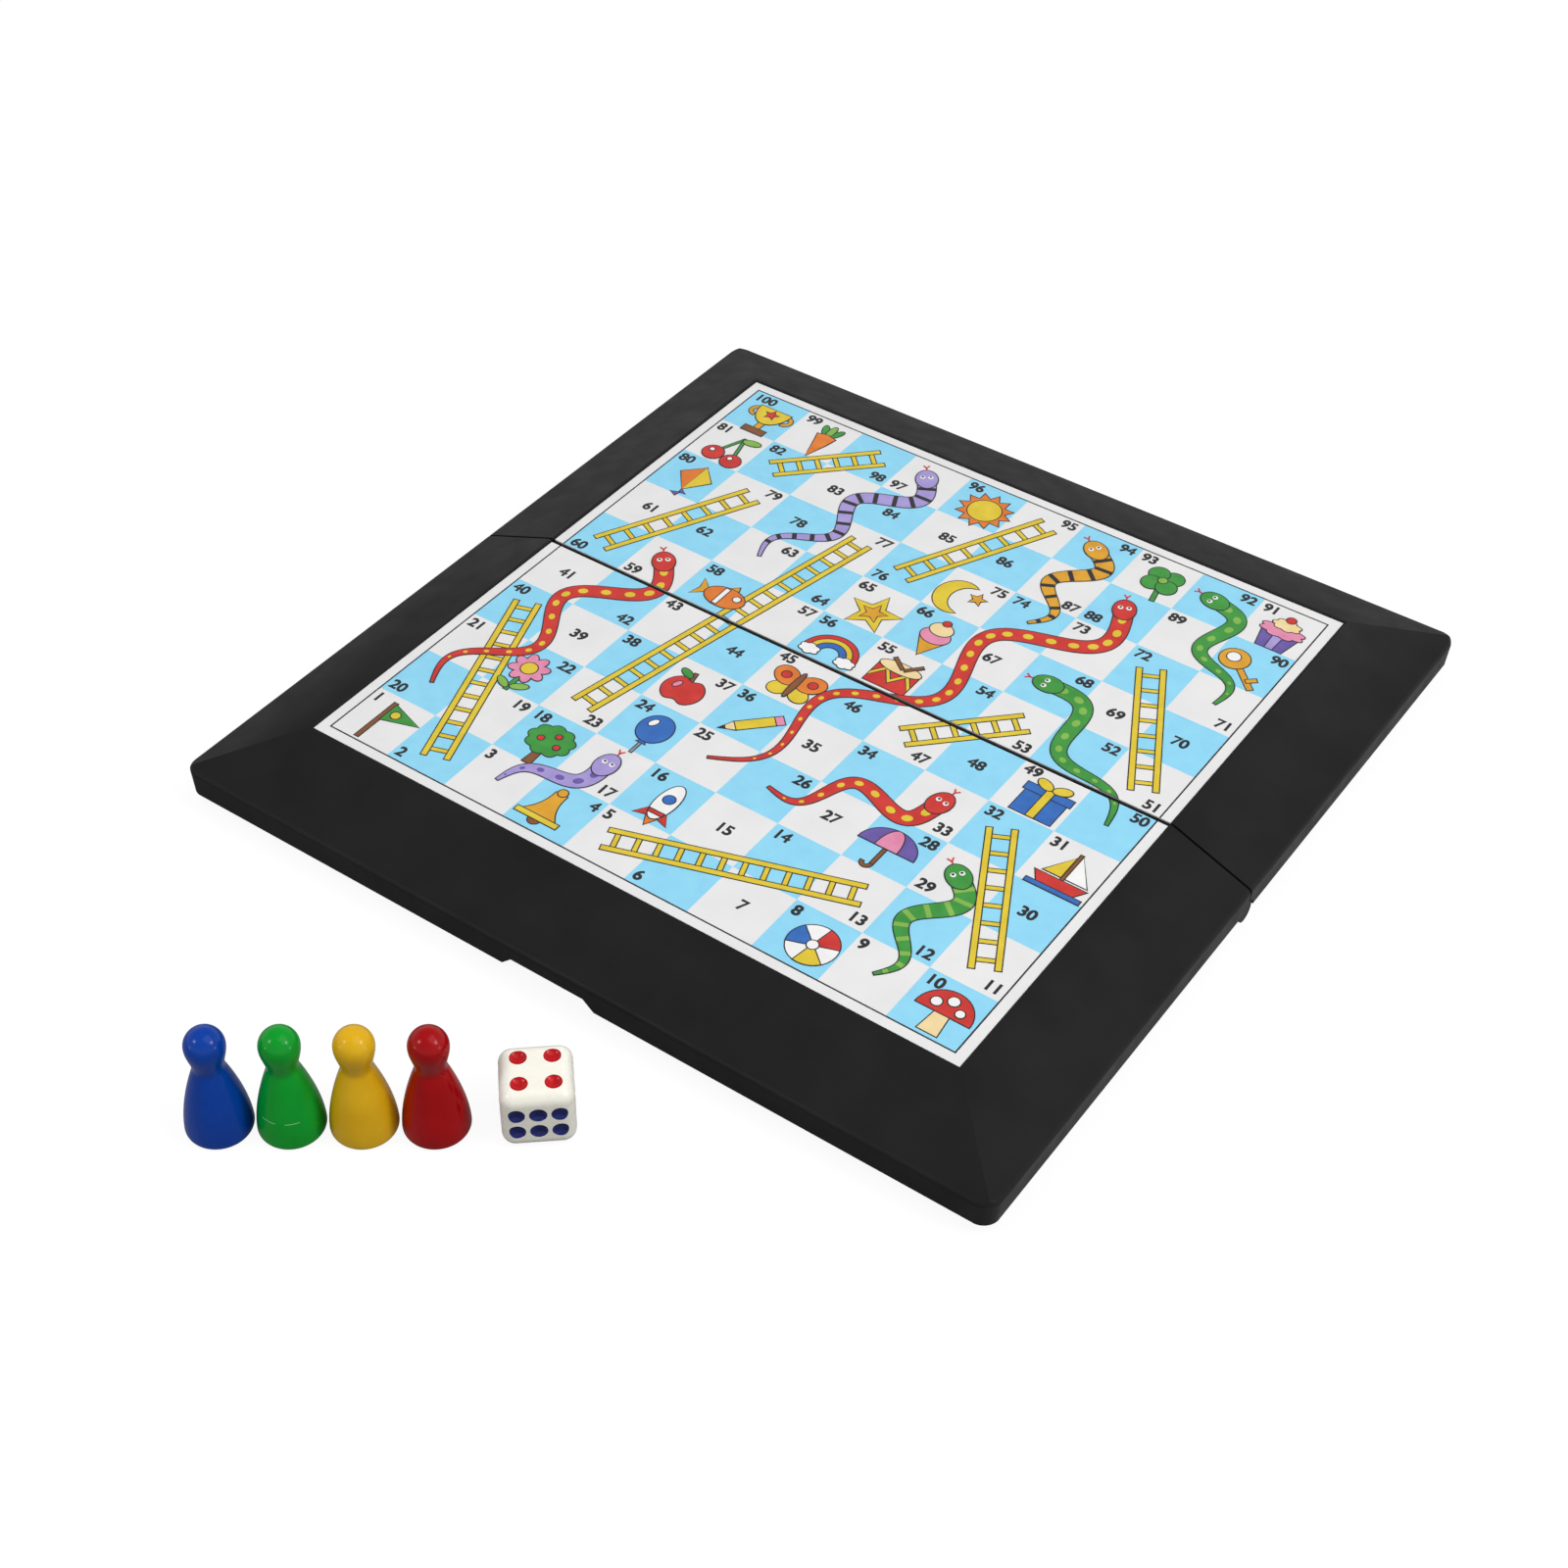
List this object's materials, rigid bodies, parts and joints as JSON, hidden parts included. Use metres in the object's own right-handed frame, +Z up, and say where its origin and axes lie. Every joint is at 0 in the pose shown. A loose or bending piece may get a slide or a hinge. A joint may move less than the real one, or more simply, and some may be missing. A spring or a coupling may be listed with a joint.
{
  "type": "folding snakes and ladders board",
  "caption": "Square folding game board in two hinged black shells with printed sheets over steel, hollow inside to store its magnetic pawns and die.",
  "frame": {"origin": "middle of the set's footprint (open board behind, pawns and die in front), on the table plane that it all stands on", "axes": "+X along the fold to the right, +Y from the front edge to the back edge, +Z up"},
  "size_m": [0.2, 0.2672, 0.0264],
  "materials": {
    "shell": "satin moulded",
    "steel_sheet": "rolled, tinned",
    "print": "printed, semi-gloss film",
    "hinge_pin": "drawn wire",
    "blue_plastic": "gloss moulded",
    "green_plastic": "gloss moulded",
    "yellow_plastic": "gloss moulded",
    "red_plastic": "gloss moulded",
    "magnet": "sintered ferrite",
    "die_plastic": "polished"
  },
  "bodies": {
    "near_half": {"near_shell": "shell", "near_steel_sheet": "steel_sheet", "near_print_sheet": "print", "right_hinge_pin": "hinge_pin"},
    "far_half": {"far_shell": "shell", "far_steel_sheet": "steel_sheet", "far_print_sheet": "print", "left_hinge_pin": "hinge_pin"},
    "blue_player": {"blue_pawn": "blue_plastic", "blue_magnet": "magnet"},
    "green_player": {"green_pawn": "green_plastic", "green_magnet": "magnet"},
    "yellow_player": {"yellow_pawn": "yellow_plastic", "yellow_magnet": "magnet"},
    "red_player": {"red_pawn": "red_plastic", "red_magnet": "magnet"},
    "die": {"die": "die_plastic"}
  },
  "joints": [
    {"name": "board_fold", "type": "hinge", "parent": "near_half", "child": "far_half", "pos_m": [0, 0.03365, 0.0025], "axis": [-1, 0, 0], "range_deg": [0, 180]},
    {"name": "blue_lift", "type": "slide", "parent": "near_half", "child": "blue_player", "axis": [0, 0, 1], "range_m": [0, 0.06]},
    {"name": "green_lift", "type": "slide", "parent": "near_half", "child": "green_player", "axis": [0, 0, 1], "range_m": [0, 0.06]},
    {"name": "yellow_lift", "type": "slide", "parent": "near_half", "child": "yellow_player", "axis": [0, 0, 1], "range_m": [0, 0.06]},
    {"name": "red_lift", "type": "slide", "parent": "near_half", "child": "red_player", "axis": [0, 0, 1], "range_m": [0, 0.06]},
    {"name": "die_lift", "type": "slide", "parent": "near_half", "child": "die", "axis": [0, 0, 1], "range_m": [0, 0.06]}
  ]
}
